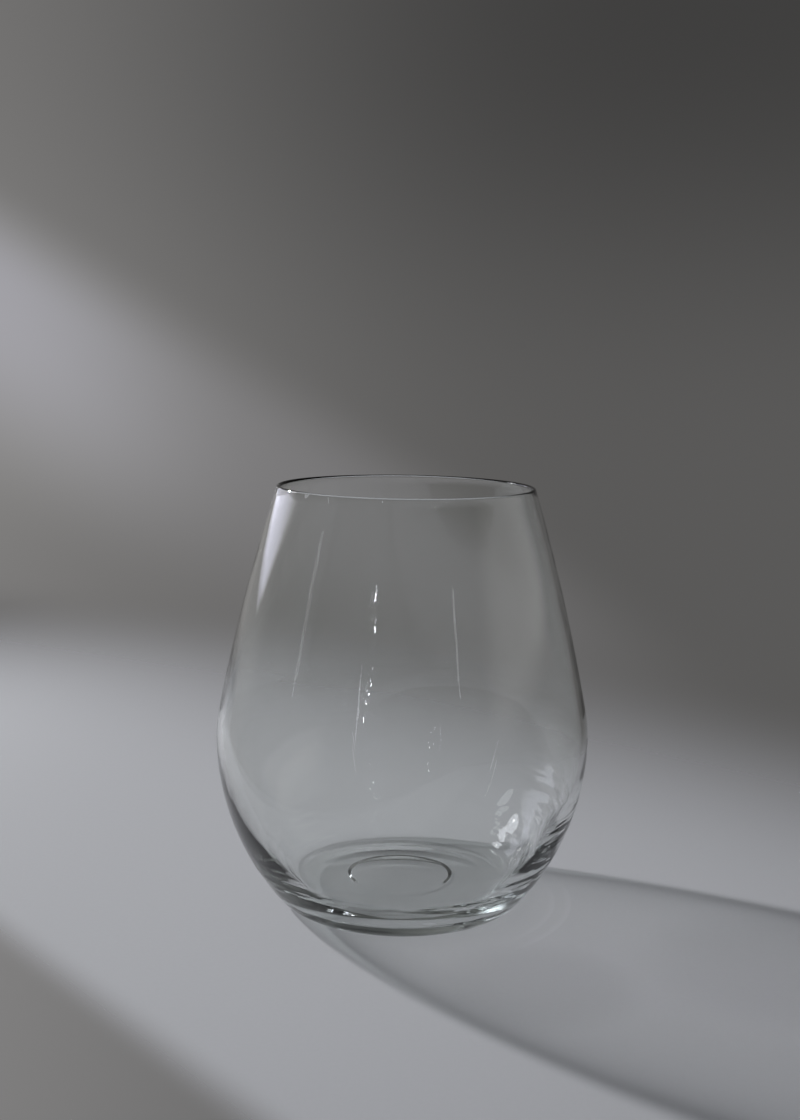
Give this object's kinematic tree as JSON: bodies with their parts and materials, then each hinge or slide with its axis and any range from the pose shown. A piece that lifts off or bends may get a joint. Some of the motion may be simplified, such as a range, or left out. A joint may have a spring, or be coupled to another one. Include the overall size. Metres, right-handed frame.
{
  "type": "stemless wine glass",
  "caption": "Clear stemless wine glass with a round belly, a mouth drawn in to a thin rounded rim, a heavy base and a dimpled underside.",
  "frame": {"origin": "centre of the standing plane, on the axis of the glass", "axes": "+Z along the axis, up through the mouth; the glass is a body of revolution, so X and Y are free"},
  "size_m": [0.1018, 0.1018, 0.115],
  "materials": {
    "clear_glass": "clear, fire polished, with a trace of green in the thick base"
  },
  "bodies": {
    "root": {"stemless_glass": "clear_glass"}
  },
  "joints": []
}
